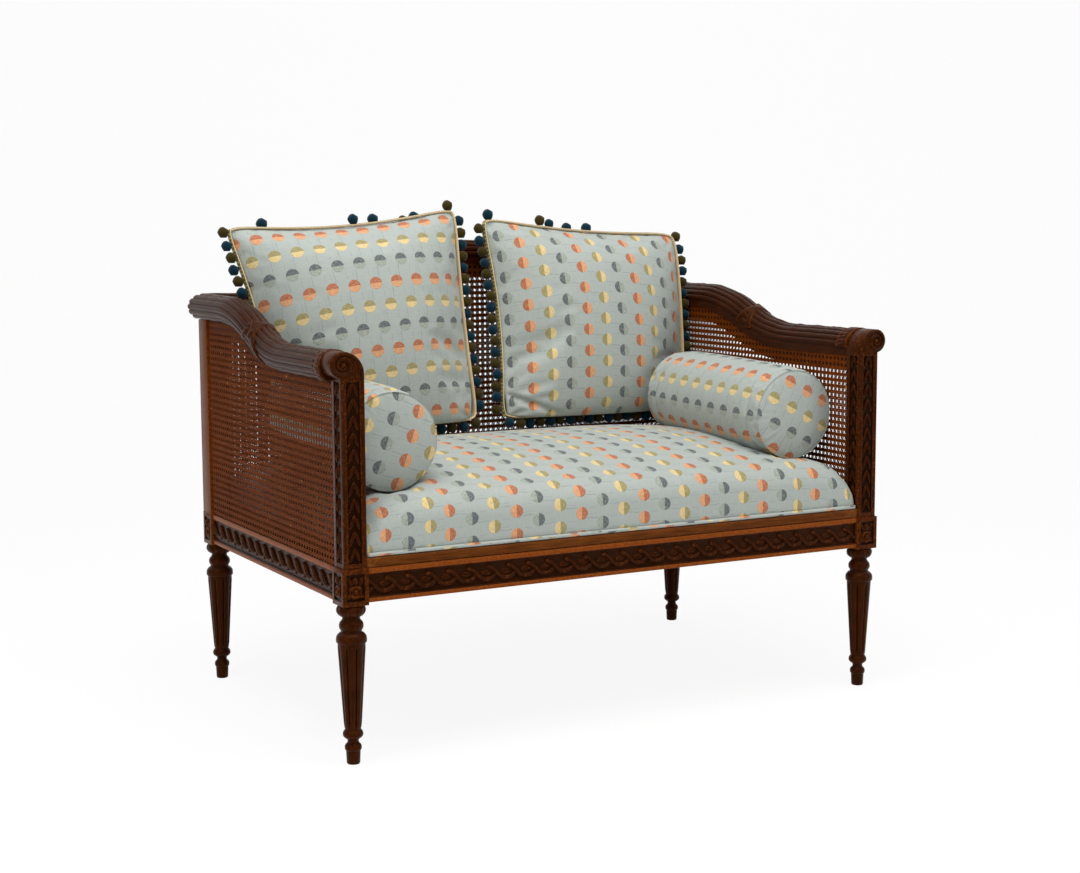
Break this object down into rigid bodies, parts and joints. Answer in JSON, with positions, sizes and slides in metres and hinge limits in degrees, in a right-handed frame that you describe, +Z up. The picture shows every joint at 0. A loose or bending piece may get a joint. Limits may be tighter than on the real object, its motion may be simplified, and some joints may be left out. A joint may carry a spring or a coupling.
{
  "type": "caned settee",
  "caption": "Settee with a carved wooden frame, double-caned arms and arched back, upholstered seat, loose pompom-trimmed pillows and bolsters.",
  "frame": {"origin": "middle of the footprint, on the floor", "axes": "+X along the settee to its left end as a sitter sees it, +Y from the front to the back, +Z up"},
  "size_m": [1.16, 0.7441, 0.9577],
  "materials": {
    "carved_wood": "dark waxed hardwood, worn lighter on the edges",
    "cane": "woven cane, warm brown",
    "frame_timber": "plain sawn timber",
    "webbing": "jute webbing",
    "hessian": "coarse hessian",
    "dust_cloth": "black lining cloth",
    "seat_fabric": "matt cotton with two-coloured dots",
    "pillow_fabric": "matt cotton with two-coloured dots",
    "bolster_fabric": "matt cotton with two-coloured dots",
    "pompom_braid": "wool pompoms on a woven braid tape"
  },
  "bodies": {
    "frame": {"front_left_leg": "carved_wood", "front_right_leg": "carved_wood", "rear_left_leg": "carved_wood", "rear_right_leg": "carved_wood", "front_rail": "carved_wood", "rear_rail": "carved_wood", "left_rail": "carved_wood", "right_rail": "carved_wood", "front_strip": "carved_wood", "left_arm_rail": "carved_wood", "right_arm_rail": "carved_wood", "crest_rail": "carved_wood", "left_inner_cane": "cane", "left_outer_cane": "cane", "right_inner_cane": "cane", "right_outer_cane": "cane", "back_inner_cane": "cane", "back_outer_cane": "cane", "seat_frame_front": "frame_timber", "seat_frame_rear": "frame_timber", "seat_frame_left": "frame_timber", "seat_frame_right": "frame_timber", "seat_frame_middle": "frame_timber", "seat_cleats": "frame_timber", "corner_blocks": "frame_timber", "seat_webbing": "webbing", "seat_hessian": "hessian", "dust_cover": "dust_cloth", "seat_cushion": "seat_fabric", "seat_welt": "seat_fabric"},
    "left_pillow": {"left_pillow": "pillow_fabric", "left_pillow_trim": "pompom_braid"},
    "right_pillow": {"right_pillow": "pillow_fabric", "right_pillow_trim": "pompom_braid"},
    "left_bolster": {"left_bolster": "bolster_fabric"},
    "right_bolster": {"right_bolster": "bolster_fabric"}
  },
  "joints": [
    {"name": "left_pillow_lift", "type": "slide", "parent": "frame", "child": "left_pillow", "axis": [0, 0, 1], "range_m": [0, 0.45]},
    {"name": "right_pillow_lift", "type": "slide", "parent": "frame", "child": "right_pillow", "axis": [0, 0, 1], "range_m": [0, 0.45]},
    {"name": "left_bolster_lift", "type": "slide", "parent": "frame", "child": "left_bolster", "axis": [0, 0, 1], "range_m": [0, 0.45]},
    {"name": "right_bolster_lift", "type": "slide", "parent": "frame", "child": "right_bolster", "axis": [0, 0, 1], "range_m": [0, 0.45]}
  ]
}
